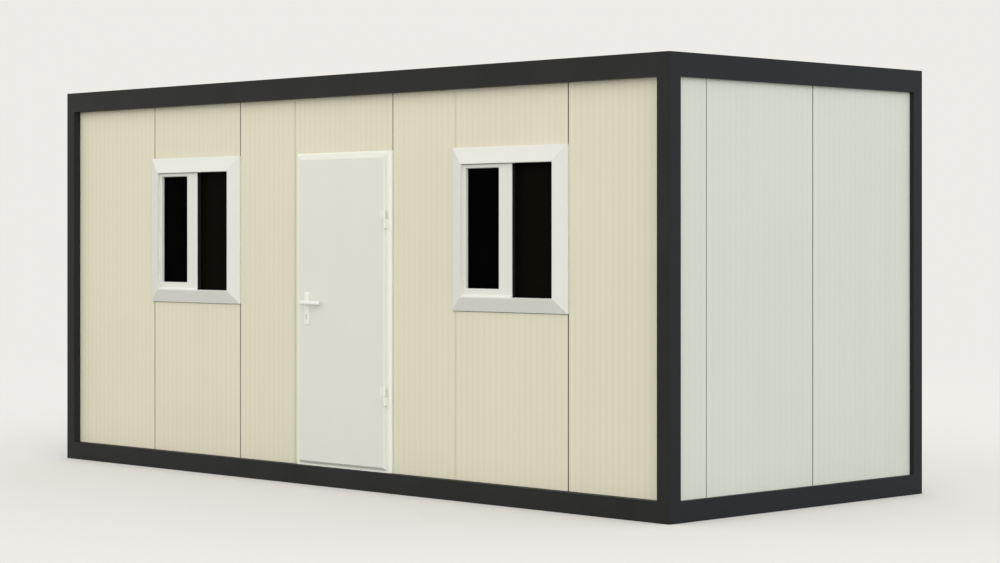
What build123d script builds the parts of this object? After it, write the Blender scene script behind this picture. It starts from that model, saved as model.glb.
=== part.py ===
from build123d import *
import math
import os

# Portable site cabin: folded steel frame, sandwich-panel walls, one door, two sliding windows.
# Millimetres. X runs along the cabin, Y across it, Z up. The origin is on the ground, under the
# middle of the cabin. The front, with the door and the windows, faces -Y.

# ---- overall size -------------------------------------------------------------------------
LENGTH = 6055.0
WIDTH = 2435.0
HEIGHT = 2720.0

# ---- steel frame --------------------------------------------------------------------------
POST_FACE = 98.0         # width of each post face
POST_BEND = 15.0         # outer radius of the post's outside edge
BASE_RAIL_HEIGHT = 126.0
ROOF_RAIL_HEIGHT = 141.0
STEEL = 3.0              # sheet thickness of every folded member
FLANGE_LIP = 15.0        # down-turned edge of a base rail's top flange
LONG_RECESS = 56.0       # wall face behind the frame face, long sides
END_RECESS = 33.0        # wall face behind the frame face, ends
CEILING_LEDGE = 30.0     # roof rail flange that carries the ceiling
GUTTER_CREST = 25.0      # flat top edge of a long roof rail
GUTTER_FLOOR = 86.0      # height of the gutter floor above the rail's underside
GUTTER_WIDTH = 80.0
GUTTER_UPSTAND = 20.0    # inner edge that carries the roof sheet
VERGE_COVER = 130.0      # top flange of an end roof rail, over the sheet's edge
VERGE_LIP = 12.0

# ---- sandwich panels ----------------------------------------------------------------------
PANEL = 60.0             # thickness
MODULE = 990.0           # cover width of a whole panel
SEAM_DEPTH = 12.0        # open joint between the steel faces of two panels
SEAM = 8.0               # its usual width, closer where panels were pressed tight
FRONT_SEAMS = (8.0, 9.0, 3.0, 8.0, 1.0, 9.5)
END_SEAMS = (6.0, 8.0)
TONGUE = 14.5            # length of the tongue
TONGUE_ROOT = 15.0       # its thickness where it leaves the panel
TONGUE_TIP = 12.0
TONGUE_PLAY = 0.5        # clearance all round in the groove

FRONT_FIRST = 932.5      # panel 1, cut from a whole one
FRONT_NARROW = 594.0     # panels 3 and 5
END_NARROW = 260.0       # the cut panel of an end wall

# ---- floor and roof -----------------------------------------------------------------------
DECK = 18.0
JOIST_COUNT = 11
JOIST_HEIGHT = 100.0
JOIST_FLANGE = 50.0
CEILING = 50.0
SHEET = 1.5
RIB_PITCH = 200.0
RIB_HEIGHT = 20.0
RIB_TOP = 30.0
RIB_FOOT = 60.0
SHEET_OVERHANG = 25.0    # past the upstand, over the gutter

# ---- door ---------------------------------------------------------------------------------
DOOR_FRAME_LEFT = -384.0  # outer edge of the left jamb
DOOR_FRAME_WIDTH = 951.0
DOOR_FRAME_TOP = 2211.0
FRAME_PROUD = 16.0        # frame face out of the wall face
FRAME_BEVEL = 14.0        # its outer edges, sides and top
LATCH_JAMB = 57.0         # face widths of the frame's members
HINGE_JAMB = 44.0
HEAD_FACE = 40.0
SILL_FACE = 27.0
DOOR_STOP = 15.0          # rebate behind the leaf
DOOR_GAP = 5.0            # behind the leaf and its lip, above, below and on the hinge side
LATCH_GAP = 7.0           # wider, because the leaf's inner corner swings past the jamb
LEAF = 45.0               # thickness
LEAF_PROUD = 33.0         # leaf face out of the wall face
LIP_LAP = 9.0             # how far the leaf's lip lies over the frame
LIP_EDGE = 2.0            # thickness of the lip's edge
LIP_BEVEL_WIDTH = 15.0
BUTT_GAP = 0.5            # hairline where frame members meet

HINGE_Z = (561.0, 1708.0)  # foot of each hinge
HINGE_OFFSET = 8.0         # lip's edge to the hinge axis
KNUCKLE = 57.0             # length of each half
KNUCKLE_RADIUS = 7.0
KNUCKLE_LIFT = 1.0         # knuckle clear of the leaf's face
KNUCKLE_GAP = 2.0
PIN_RADIUS = 3.5
PIN_PLAY = 0.1
PIN_LENGTH = 36.0
HINGE_PLATE = 3.0
HINGE_PLATE_WIDTH = 40.0
HINGE_BRACKET = 5.0        # half the width of the bracket on the frame

# ---- door furniture -----------------------------------------------------------------------
BACKSET = 71.0            # leaf's closing edge, behind the lip, to the lever's axis
LEVER_Z = 1214.0
PLATE_WIDTH = 46.0
PLATE_HEIGHT = 218.0
PLATE_THICKNESS = 8.0
PLATE_CORNER = 12.0
PLATE_BEVEL = 3.0
PLATE_TOP = 1282.0
KEY_DROP = 88.0           # lever axis down to the cylinder
CYLINDER_RADIUS = 8.5
CYLINDER_WEB = 10.0
CYLINDER_HEIGHT = 33.0
CYLINDER_PROUD = 2.0
KEYWAY_WIDTH = 2.4
KEYWAY_HEIGHT = 9.0
KEYWAY_DEPTH = 6.0
NECK_RADIUS = 10.0
NECK_PLAY = 0.4
NECK_START = 1.0          # neck clear of the leaf's face, inside the plate
LEVER_STANDOFF = 42.0     # plate face to the middle of the grip
LEVER_LENGTH = 158.0      # axis to tip
LEVER_HEEL = 12.0         # grip's end past the axis
GRIP_HEIGHT = 26.0
GRIP_DEPTH = 16.0
GRIP_ROUND = 7.0
GRIP_BEVEL = 3.0
LEVER_KNEE = 100.0        # where the grip starts to turn back
LEVER_BEND = 60.0
LEVER_RETURN = 24.0       # the tip comes back towards the leaf by this much
SPINDLE_RADIUS = 5.0
SPINDLE_PLAY = 0.05
SPINDLE_REACH = 12.0      # into each neck, from the leaf's face
LEAF_BORE_RADIUS = 12.0

# ---- windows ------------------------------------------------------------------------------
WINDOW_BOTTOM = 1188.5    # outer edges of the casing
WINDOW_TOP = 2211.5
CASING_LAP = 11.5         # casing over the panels above and below the opening
CASING_OFFSET = 6.0       # casing to the left of the panel module's middle
CASING = 105.0            # face width at the sides and the top
CASING_FOOT = 90.5        # face width at the bottom
CASING_SEAL = 2.0         # room for the seal behind the casing's edge
CASING_EDGE = 12.0        # the casing's outer edge out of the wall face
CASING_PROUD = 42.0       # and its inner edge
CASING_LAND = 6.0         # flat strip along the inner edge
MITRE_GAP = 0.5           # hairline joint at each mitre
SASH_FACE = 22.0          # sash face out of the wall face
SASH = 36.0               # sash thickness
SASH_STILE = 24.5
SASH_MEETING_STILE = 119.0
SASH_PANE_LEFT = 112.0    # panel joint to the sash's pane
SASH_PANE_WIDTH = 297.0
SASH_TOP_RAIL = 24.0
SASH_BOTTOM_RAIL = 51.0
SASH_PLAY = 3.0           # above the sash, for lifting it in
SASH_CHAMFER = 4.0
MEETING_LIP = 4.0         # thickness of the meeting stile's free edge
MEETING_LIP_WIDTH = 20.0
WEATHER_BAR_HEIGHT = 14.0
WEATHER_BAR_REACH = 10.0
WEATHER_BAR_EDGE = 2.0
PANE = 5.0
SASH_PANE_INSET = 24.0    # behind the sash's face
FIXED_PANE_DEPTH = 24.0   # behind the wall face
PANE_EDGE = 10.0          # pane held in its groove
INTERLOCK = 40.0          # width of the fixed bar behind the meeting stile
INTERLOCK_DEPTH = 25.0
INTERLOCK_GAP = 1.5       # between the sash and the bar

# ---- derived ------------------------------------------------------------------------------
HALF_LENGTH = LENGTH / 2
HALF_WIDTH = WIDTH / 2
LONG_RUN = LENGTH - 2 * POST_FACE
END_RUN = WIDTH - 2 * POST_FACE
ROOF_RAIL_Z = HEIGHT - ROOF_RAIL_HEIGHT
WALL_HEIGHT = ROOF_RAIL_Z - BASE_RAIL_HEIGHT
LONG_SHELF = LONG_RECESS + PANEL      # flange the long walls stand on
END_SHELF = END_RECESS + PANEL
FRONT_FACE = -HALF_WIDTH + LONG_RECESS  # Y of the front wall's outer face
WALL_BACK = FRONT_FACE + PANEL

ROOM_X = (-LONG_RUN / 2, LONG_RUN / 2)
ROOM_Y = (-HALF_WIDTH + LONG_SHELF, HALF_WIDTH - LONG_SHELF)
CEILING_Z = ROOF_RAIL_Z + STEEL
ROOF_SHEET_Z = ROOF_RAIL_Z + GUTTER_FLOOR + GUTTER_UPSTAND

FRONT_WIDTHS = [FRONT_FIRST, MODULE, FRONT_NARROW, MODULE, FRONT_NARROW, MODULE]
FRONT_WIDTHS.append(LONG_RUN - sum(FRONT_WIDTHS))
BACK_WIDTHS = [MODULE] * 5
BACK_WIDTHS.append(LONG_RUN - sum(BACK_WIDTHS))
BACK_SEAMS = (SEAM,) * 5
RIGHT_WIDTHS = [END_NARROW, MODULE, END_RUN - END_NARROW - MODULE]
LEFT_WIDTHS = RIGHT_WIDTHS[::-1]

DOOR_FRAME_X = (DOOR_FRAME_LEFT, DOOR_FRAME_LEFT + DOOR_FRAME_WIDTH)
DOOR_FRAME_Z = (BASE_RAIL_HEIGHT, DOOR_FRAME_TOP)
DOORWAY_X = (DOOR_FRAME_X[0] + LATCH_JAMB, DOOR_FRAME_X[1] - HINGE_JAMB)
DOORWAY_Z = (DOOR_FRAME_Z[0] + SILL_FACE, DOOR_FRAME_Z[1] - HEAD_FACE)
LEAF_X = (DOORWAY_X[0] + LATCH_GAP, DOORWAY_X[1] - DOOR_GAP)
LEAF_Z = (DOORWAY_Z[0] + DOOR_GAP, DOORWAY_Z[1] - DOOR_GAP)
LIP_X = (DOORWAY_X[0] - LIP_LAP, DOORWAY_X[1] + LIP_LAP)
LIP_Z = (DOORWAY_Z[0] - LIP_LAP, DOORWAY_Z[1] + LIP_LAP)
FRAME_FRONT = FRONT_FACE - FRAME_PROUD
LIP_BACK = FRAME_FRONT - DOOR_GAP
LEAF_FRONT = FRONT_FACE - LEAF_PROUD
LEAF_BACK = LEAF_FRONT + LEAF
HINGE_X = LIP_X[1] + HINGE_OFFSET
HINGE_Y = LEAF_FRONT - KNUCKLE_RADIUS - KNUCKLE_LIFT
LEVER_X = LEAF_X[0] + BACKSET

# a window's own frame: X from the panel joint on its left, Z from its body's underside
WINDOW_BODY_Z = (WINDOW_BOTTOM + CASING_LAP, WINDOW_TOP - CASING_LAP)
WINDOW_HEIGHT = WINDOW_BODY_Z[1] - WINDOW_BODY_Z[0]
CASING_X = (-CASING_LAP - CASING_OFFSET, MODULE + CASING_LAP - CASING_OFFSET)
CASING_Z = (-CASING_LAP, WINDOW_HEIGHT + CASING_LAP)
SIGHT_X = (CASING_X[0] + CASING, CASING_X[1] - CASING)
SIGHT_Z = (CASING_Z[0] + CASING_FOOT, CASING_Z[1] - CASING)
SASH_X = (SIGHT_X[0], SASH_PANE_LEFT + SASH_PANE_WIDTH + SASH_MEETING_STILE)
SASH_Z = (SIGHT_Z[0], SIGHT_Z[1] - SASH_PLAY)
SASH_BACK = SASH - SASH_FACE

# Each side of the cabin, seen from outside: the bottom left corner between its two posts.
SIDES = {
    "front": Location((-HALF_LENGTH + POST_FACE, -HALF_WIDTH, 0), (0, 0, 0)),
    "right": Location((HALF_LENGTH, -HALF_WIDTH + POST_FACE, 0), (0, 0, 90)),
    "back": Location((HALF_LENGTH - POST_FACE, HALF_WIDTH, 0), (0, 0, 180)),
    "left": Location((-HALF_LENGTH, HALF_WIDTH - POST_FACE, 0), (0, 0, 270)),
}

parts = {}


def block(x, y, z):
    """A box from its low and high places on each axis."""
    size = Box(x[1] - x[0], y[1] - y[0], z[1] - z[0])
    return Pos((x[0] + x[1]) / 2, (y[0] + y[1]) / 2, (z[0] + z[1]) / 2) * size


def inside(span, margin):
    """A span with the same margin taken off both its ends."""
    return span[0] + margin, span[1] - margin


def upright_rectangle(x, z, y):
    """A rectangle that faces the front, at the depth y."""
    middle = Pos((x[0] + x[1]) / 2, (z[0] + z[1]) / 2)
    return Plane.XZ.offset(-y) * middle * Rectangle(x[1] - x[0], z[1] - z[0])


def mitre_cut(outer, inner, y):
    """The thin slit of a mitre, from a frame's outer corner to its inner one, as (X, Z)."""
    across, up = inner[0] - outer[0], inner[1] - outer[1]
    slit = Box(math.hypot(across, up) + 2 * MITRE_GAP, y[1] - y[0], MITRE_GAP)
    turned = Rot(0, -math.degrees(math.atan2(up, across)), 0) * slit
    return Pos((outer[0] + inner[0]) / 2, (y[0] + y[1]) / 2, (outer[1] + inner[1]) / 2) * turned


def folded_member(outline, side, length):
    """Steel sheet folded along an outline (inward, up), running along +X from the origin."""
    edge = Polyline(*outline).offset_2d(STEEL, kind=Kind.ARC, side=side, closed=True)
    return extrude(Plane.YZ * make_face(edge.edges()), length)


# ---- frame --------------------------------------------------------------------------------
def corner_post():
    """A square tube with its outside edge rounded at the origin and a cap plate on top."""
    middle = POST_FACE / 2
    outer = Pos(middle, middle) * Rectangle(POST_FACE, POST_FACE)
    outer = fillet(outer.vertices().sort_by(Axis.X)[:2].sort_by(Axis.Y)[0], POST_BEND)
    bore = Pos(middle, middle) * Rectangle(POST_FACE - 2 * STEEL, POST_FACE - 2 * STEEL)
    bore = fillet(bore.vertices().sort_by(Axis.X)[:2].sort_by(Axis.Y)[0], POST_BEND - STEEL)
    tube = extrude(outer - bore, HEIGHT - STEEL)
    cap = Pos(0, 0, HEIGHT - STEEL) * extrude(outer, STEEL)
    return tube + cap


def base_rail(length, shelf):
    """A channel that opens inward, its top flange the shelf that a wall stands on."""
    outline = [
        (shelf, 0),
        (0, 0),
        (0, BASE_RAIL_HEIGHT),
        (shelf, BASE_RAIL_HEIGHT),
        (shelf, BASE_RAIL_HEIGHT - FLANGE_LIP),
    ]
    return folded_member(outline, Side.LEFT, length)


def gutter_rail(length):
    """The long roof rail: ceiling ledge, face, crest, gutter and the sheet's upstand."""
    gutter = GUTTER_CREST + GUTTER_WIDTH
    outline = [
        (LONG_SHELF + CEILING_LEDGE, 0),
        (0, 0),
        (0, ROOF_RAIL_HEIGHT),
        (GUTTER_CREST, ROOF_RAIL_HEIGHT),
        (GUTTER_CREST, GUTTER_FLOOR),
        (gutter, GUTTER_FLOOR),
        (gutter, GUTTER_FLOOR + GUTTER_UPSTAND),
    ]
    return folded_member(outline, Side.RIGHT, length)


def verge_rail(length):
    """The end roof rail: a channel whose top flange covers the roof sheet's edge."""
    outline = [
        (END_SHELF, 0),
        (0, 0),
        (0, ROOF_RAIL_HEIGHT),
        (VERGE_COVER, ROOF_RAIL_HEIGHT),
        (VERGE_COVER, ROOF_RAIL_HEIGHT - VERGE_LIP),
    ]
    return folded_member(outline, Side.RIGHT, length)


post = corner_post()
for number, name in enumerate(("front_left", "front_right", "back_right", "back_left")):
    x = HALF_LENGTH if "right" in name else -HALF_LENGTH
    y = HALF_WIDTH if "back" in name else -HALF_WIDTH
    parts["post_" + name] = Location((x, y, 0), (0, 0, 90 * number)) * post

for name, side in SIDES.items():
    long_side = name in ("front", "back")
    run = LONG_RUN if long_side else END_RUN
    shelf = LONG_SHELF if long_side else END_SHELF
    roof_rail = gutter_rail(run) if long_side else verge_rail(run)
    parts["base_rail_" + name] = side * base_rail(run, shelf)
    parts["roof_rail_" + name] = side * Pos(0, 0, ROOF_RAIL_Z) * roof_rail


# ---- walls --------------------------------------------------------------------------------
def panel_edge(kind, seam):
    """Half a panel's plan outline at one edge: (distance in from the joint, depth)."""
    middle = PANEL / 2
    if kind == "plain":
        return [(0, 0), (0, PANEL)]
    if kind == "groove":
        mouth = TONGUE_ROOT / 2 + TONGUE_PLAY
        floor = TONGUE_TIP / 2 + TONGUE_PLAY
        depth = TONGUE + TONGUE_PLAY
        profile = [
            (0, middle - mouth),
            (depth, middle - floor),
            (depth, middle + floor),
            (0, middle + mouth),
        ]
    else:
        profile = [
            (0, middle - TONGUE_ROOT / 2),
            (-TONGUE, middle - TONGUE_TIP / 2),
            (-TONGUE, middle + TONGUE_TIP / 2),
            (0, middle + TONGUE_ROOT / 2),
        ]
    front_step = [(seam / 2, 0), (seam / 2, SEAM_DEPTH), (0, SEAM_DEPTH)]
    back_step = [(x, PANEL - y) for x, y in reversed(front_step)]
    return front_step + profile + back_step


def wall_panel(width, height, left, right):
    """A sandwich panel: outer face on the XZ plane, joint to joint along X, standing on Z=0."""
    left_edge = panel_edge(*left)
    right_edge = [(width - x, y) for x, y in panel_edge(*right)]
    plan = make_face(Polyline(*left_edge, *right_edge[::-1], close=True))
    return extrude(plan, height)


def wall_run(side, widths, seams, recess):
    """Where each panel of a wall stands, and the (kind, seam width) of its two edges."""
    places = []
    start = 0.0
    for number, width in enumerate(widths):
        joint = "tongue" if number % 2 else "groove"
        left = ("plain", 0) if number == 0 else (joint, seams[number - 1])
        right = ("plain", 0) if number == len(widths) - 1 else (joint, seams[number])
        place = SIDES[side] * Pos(start, recess, BASE_RAIL_HEIGHT)
        places.append((place, width, left, right))
        start += width
    return places


for side, widths, seams, recess in (
    ("back", BACK_WIDTHS, BACK_SEAMS, LONG_RECESS),
    ("right", RIGHT_WIDTHS, END_SEAMS, END_RECESS),
    ("left", LEFT_WIDTHS, END_SEAMS[::-1], END_RECESS),
):
    run = wall_run(side, widths, seams, recess)
    for number, (place, width, left, right) in enumerate(run, 1):
        parts[f"{side}_panel_{number}"] = place * wall_panel(width, WALL_HEIGHT, left, right)

front = wall_run("front", FRONT_WIDTHS, FRONT_SEAMS, LONG_RECESS)
for number in (1, 3, 5, 7):
    place, width, left, right = front[number - 1]
    parts[f"front_panel_{number}"] = place * wall_panel(width, WALL_HEIGHT, left, right)

WINDOW_SLOTS = {"window_1": front[1], "window_2": front[5]}
for name, (place, width, left, right) in WINDOW_SLOTS.items():
    below = wall_panel(width, WINDOW_BODY_Z[0] - BASE_RAIL_HEIGHT, left, right)
    above = wall_panel(width, ROOF_RAIL_Z - WINDOW_BODY_Z[1], left, right)
    parts[name + "_panel_below"] = place * below
    parts[name + "_panel_above"] = place * Pos(0, 0, WINDOW_BODY_Z[1] - BASE_RAIL_HEIGHT) * above

DOOR_MODULE_NUMBER = 3
door_place, door_module, left, right = front[DOOR_MODULE_NUMBER]
DOOR_MODULE_LEFT = door_place.position.X
DOOR_MODULE_RIGHT = DOOR_MODULE_LEFT + door_module
door_height = DOOR_FRAME_TOP - BASE_RAIL_HEIGHT
header = wall_panel(door_module, ROOF_RAIL_Z - DOOR_FRAME_TOP, left, right)
strip = wall_panel(DOOR_FRAME_LEFT - DOOR_MODULE_LEFT, door_height, left, ("plain", 0))
parts["door_panel_above"] = door_place * Pos(0, 0, door_height) * header
parts["door_panel_beside"] = door_place * strip


# ---- floor and roof -----------------------------------------------------------------------
def floor_joists():
    """Channels between the long base rails, under the deck."""
    top = BASE_RAIL_HEIGHT - DECK
    outline = [
        (JOIST_FLANGE, top - JOIST_HEIGHT),
        (0, top - JOIST_HEIGHT),
        (0, top),
        (JOIST_FLANGE, top),
    ]
    span = WIDTH - 2 * STEEL
    joist = folded_member(outline, Side.RIGHT, span)
    pitch = (LONG_RUN - JOIST_FLANGE) / (JOIST_COUNT - 1)
    first = -LONG_RUN / 2
    turned = [
        Location((first + number * pitch + JOIST_FLANGE, -span / 2, 0), (0, 0, 90)) * joist
        for number in range(JOIST_COUNT)
    ]
    return Compound(children=turned)


def roof_sheet():
    """Ribbed sheet, its ribs across the cabin so that rain runs to both gutters."""
    ribs = int(LONG_RUN // RIB_PITCH)
    edge = (LONG_RUN - ribs * RIB_PITCH) / 2
    line = [(0.0, 0.0)]
    for number in range(ribs):
        middle = edge + (number + 0.5) * RIB_PITCH
        line += [
            (middle - RIB_FOOT / 2, 0.0),
            (middle - RIB_TOP / 2, RIB_HEIGHT),
            (middle + RIB_TOP / 2, RIB_HEIGHT),
            (middle + RIB_FOOT / 2, 0.0),
        ]
    line.append((LONG_RUN, 0.0))
    section = make_face(Polyline(*line, *[(x, y + SHEET) for x, y in reversed(line)], close=True))
    reach = WIDTH - 2 * (GUTTER_CREST + GUTTER_WIDTH - SHEET_OVERHANG)
    return Pos(-LONG_RUN / 2, -reach / 2, ROOF_SHEET_Z) * extrude(Plane.XZ * section, -reach)


parts["floor_deck"] = block(ROOM_X, ROOM_Y, (BASE_RAIL_HEIGHT - DECK, BASE_RAIL_HEIGHT))
parts["floor_joists"] = floor_joists()
parts["ceiling"] = block(ROOM_X, ROOM_Y, (CEILING_Z, CEILING_Z + CEILING))
parts["roof_sheet"] = roof_sheet()


# ---- door ---------------------------------------------------------------------------------
def door_frame():
    """Jambs, head and sill: bevelled outside, rebated behind the leaf, mitred at the head."""
    depth = (FRAME_FRONT, WALL_BACK)
    ring = block(DOOR_FRAME_X, depth, DOOR_FRAME_Z)
    sides_and_top = ring.faces().sort_by(Axis.Y)[0].edges().sort_by(Axis.Z)[1:]
    ring = chamfer(sides_and_top, FRAME_BEVEL)
    ring -= block(DOORWAY_X, (FRAME_FRONT, LEAF_BACK + DOOR_GAP), DOORWAY_Z)
    ring -= block(inside(DOORWAY_X, DOOR_STOP), depth, inside(DOORWAY_Z, DOOR_STOP))
    wall_depth = (FRONT_FACE, WALL_BACK)
    seam_x = DOOR_MODULE_RIGHT - FRONT_SEAMS[DOOR_MODULE_NUMBER] / 2
    ring += block((DOOR_FRAME_X[1], seam_x), wall_depth, DOOR_FRAME_Z)
    ring += block((seam_x, DOOR_MODULE_RIGHT), inside(wall_depth, SEAM_DEPTH), DOOR_FRAME_Z)
    stop_x, stop_z = inside(DOORWAY_X, DOOR_STOP), inside(DOORWAY_Z, DOOR_STOP)
    for outer_x, doorway_x, inner_x in zip(DOOR_FRAME_X, DOORWAY_X, stop_x):
        ring -= mitre_cut((outer_x, DOOR_FRAME_TOP), (inner_x, stop_z[1]), depth)
        joint_x = (doorway_x - BUTT_GAP / 2, doorway_x + BUTT_GAP / 2)
        ring -= block(joint_x, depth, (DOOR_FRAME_Z[0], DOORWAY_Z[0]))
        ring -= block(sorted((doorway_x, inner_x)), depth, (DOORWAY_Z[0], DOORWAY_Z[0] + BUTT_GAP))
    return ring


def cylinder_profile(clearance):
    """The lock cylinder's outline: a round barrel on a straight web."""
    barrel = Circle(CYLINDER_RADIUS + clearance)
    web_height = CYLINDER_HEIGHT - CYLINDER_RADIUS
    web = Pos(0, -web_height / 2) * Rectangle(
        CYLINDER_WEB + 2 * clearance, web_height + 2 * clearance
    )
    return barrel + web


def through_leaf(profile, front, back):
    """A profile on the lever's axis, seen from outside, pushed from the front place to the back."""
    plane = Plane((LEVER_X, front, 0), x_dir=(1, 0, 0), z_dir=(0, -1, 0))
    return extrude(plane * profile, front - back)


def door_leaf():
    """A slab whose front lip lies over the frame all round, bevelled to a thin edge."""
    lip = block(LIP_X, (LIP_BACK - LIP_EDGE, LIP_BACK), LIP_Z)
    foot = upright_rectangle(LIP_X, LIP_Z, LIP_BACK - LIP_EDGE)
    face = upright_rectangle(
        inside(LIP_X, LIP_BEVEL_WIDTH), inside(LIP_Z, LIP_BEVEL_WIDTH), LEAF_FRONT
    )
    leaf = lip + loft([foot, face], ruled=True) + block(LEAF_X, (LIP_BACK, LEAF_BACK), LEAF_Z)
    spindle_bore = Pos(0, LEVER_Z) * Circle(LEAF_BORE_RADIUS)
    key_bore = Pos(0, LEVER_Z - KEY_DROP) * cylinder_profile(NECK_PLAY)
    for bore in (spindle_bore, key_bore):
        leaf -= through_leaf(bore, LEAF_FRONT, LEAF_BACK)
    return leaf


def handle_plate(front, back, face):
    """A long bevelled plate, bored for the lever's neck and the lock cylinder."""
    outline = Pos(0, PLATE_TOP - PLATE_HEIGHT / 2) * RectangleRounded(
        PLATE_WIDTH, PLATE_HEIGHT, PLATE_CORNER
    )
    plate = through_leaf(outline, front, back)
    plate = chamfer(plate.faces().filter_by(Axis.Y).sort_by(Axis.Y)[face].edges(), PLATE_BEVEL)
    neck_bore = Pos(0, LEVER_Z) * Circle(NECK_RADIUS + NECK_PLAY)
    key_bore = Pos(0, LEVER_Z - KEY_DROP) * cylinder_profile(NECK_PLAY)
    for bore in (neck_bore, key_bore):
        plate -= through_leaf(bore, front, back)
    return plate


def lock_cylinder():
    front = LEAF_FRONT - PLATE_THICKNESS - CYLINDER_PROUD
    back = LEAF_BACK + PLATE_THICKNESS + CYLINDER_PROUD
    axis = Pos(0, LEVER_Z - KEY_DROP)
    keyway = axis * Rectangle(KEYWAY_WIDTH, KEYWAY_HEIGHT)
    cylinder = through_leaf(axis * cylinder_profile(0), front, back)
    cylinder -= through_leaf(keyway, front, front + KEYWAY_DEPTH)
    cylinder -= through_leaf(keyway, back - KEYWAY_DEPTH, back)
    return cylinder


def lever(outward):
    """Neck and grip of one lever handle, the leaf's face at the origin."""
    grip_y = outward * (PLATE_THICKNESS + LEVER_STANDOFF)
    neck_y = sorted((outward * NECK_START, grip_y))
    neck = Cylinder(NECK_RADIUS, neck_y[1] - neck_y[0], rotation=(90, 0, 0))
    path = FilletPolyline(
        (-LEVER_HEEL, grip_y, 0),
        (LEVER_KNEE, grip_y, 0),
        (LEVER_LENGTH, grip_y - outward * LEVER_RETURN, 0),
        radius=LEVER_BEND,
    )
    section = Plane(path @ 0, x_dir=(0, 1, 0), z_dir=path % 0) * RectangleRounded(
        GRIP_DEPTH, GRIP_HEIGHT, GRIP_ROUND
    )
    grip = sweep(section, path)
    ends = grip.faces().filter_by(GeomType.PLANE).sort_by(Axis.X)
    grip = chamfer(ends[0].edges() + ends[-1].edges(), GRIP_BEVEL)
    return grip + Pos(0, (neck_y[0] + neck_y[1]) / 2, 0) * neck


def spindle(radius, front, back):
    rod = Cylinder(radius, back - front, rotation=(90, 0, 0))
    return Pos(LEVER_X, (front + back) / 2, LEVER_Z) * rod


def outside_lever():
    grip = Pos(LEVER_X, LEAF_FRONT, LEVER_Z) * lever(-1)
    return grip + spindle(SPINDLE_RADIUS, LEAF_FRONT - SPINDLE_REACH, LEAF_BACK + SPINDLE_REACH)


def inside_lever():
    grip = Pos(LEVER_X, LEAF_BACK, LEVER_Z) * lever(1)
    return grip - spindle(SPINDLE_RADIUS + SPINDLE_PLAY, LEAF_BACK, LEAF_BACK + SPINDLE_REACH)


def hinge_halves():
    """The two lift-off hinges: brackets on the frame with their pins, and the leaf's halves."""
    fixed = []
    moving = []
    axis = Pos(HINGE_X, HINGE_Y, 0)
    upright = (Align.CENTER, Align.CENTER, Align.MIN)
    knuckle = axis * Cylinder(KNUCKLE_RADIUS, KNUCKLE, align=upright)
    pin = axis * Cylinder(PIN_RADIUS, KNUCKLE + PIN_LENGTH, align=upright)
    bore = axis * Cylinder(PIN_RADIUS + PIN_PLAY, PIN_LENGTH + PIN_PLAY, align=upright)
    bracket_x = (HINGE_X - HINGE_BRACKET, HINGE_X + HINGE_BRACKET)
    bracket = block(bracket_x, (HINGE_Y, FRAME_FRONT), (0, KNUCKLE))
    plate_x = (HINGE_X - KNUCKLE_RADIUS - HINGE_PLATE_WIDTH, HINGE_X - PIN_RADIUS)
    plate = block(plate_x, (LEAF_FRONT - HINGE_PLATE, LEAF_FRONT), (0, KNUCKLE))
    for foot in HINGE_Z:
        fixed.append(Pos(0, 0, foot) * (knuckle + pin + bracket))
        moving.append(Pos(0, 0, foot + KNUCKLE + KNUCKLE_GAP) * (knuckle + plate - bore))
    return Compound(children=fixed), Compound(children=moving)


parts["door_frame"] = door_frame()
parts["door_leaf"] = door_leaf()
parts["hinge_fixed_halves"], parts["hinge_moving_halves"] = hinge_halves()
outside_plate = handle_plate(LEAF_FRONT - PLATE_THICKNESS, LEAF_FRONT, 0)
inside_plate = handle_plate(LEAF_BACK, LEAF_BACK + PLATE_THICKNESS, -1)
parts["handle_plates"] = Compound(children=[outside_plate, inside_plate])
parts["lock_cylinder"] = lock_cylinder()
parts["lever_outside"] = outside_lever()
parts["lever_inside"] = inside_lever()


# ---- windows ------------------------------------------------------------------------------
def fixed_light():
    """The fixed pane, and the bar behind the meeting stile that holds its left edge."""
    bar_right = SASH_X[1] - MEETING_LIP_WIDTH
    bar_y = (SASH_BACK + INTERLOCK_GAP, SASH_BACK + INTERLOCK_GAP + INTERLOCK_DEPTH)
    bar = block((bar_right - INTERLOCK, bar_right), bar_y, inside(SIGHT_Z, BUTT_GAP))
    pane_x = (bar_right - PANE_EDGE, SIGHT_X[1] + PANE_EDGE)
    pane_y = (FIXED_PANE_DEPTH, FIXED_PANE_DEPTH + PANE)
    pane = block(pane_x, pane_y, inside(SIGHT_Z, -PANE_EDGE))
    return bar - pane, pane


def window_frame(bar, pane):
    """Four mitred members, their casing rising to the opening, and the fixed pane's bar."""
    depth = (-CASING_PROUD, PANEL)
    flange = block(CASING_X, (-CASING_EDGE, -CASING_SEAL), CASING_Z)
    land = upright_rectangle(
        inside(SIGHT_X, -CASING_LAND), inside(SIGHT_Z, -CASING_LAND), -CASING_PROUD
    )
    slopes = loft([upright_rectangle(CASING_X, CASING_Z, -CASING_EDGE), land], ruled=True)
    body = block((0, MODULE), (-CASING_SEAL, PANEL), (0, WINDOW_HEIGHT))
    ring = flange + slopes + body - block(SIGHT_X, depth, SIGHT_Z) - pane
    for outer_x, inner_x in zip(CASING_X, SIGHT_X):
        for outer_z, inner_z in zip(CASING_Z, SIGHT_Z):
            ring -= mitre_cut((outer_x, outer_z), (inner_x, inner_z), depth)
    return Compound(children=[*ring.solids(), bar])


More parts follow.
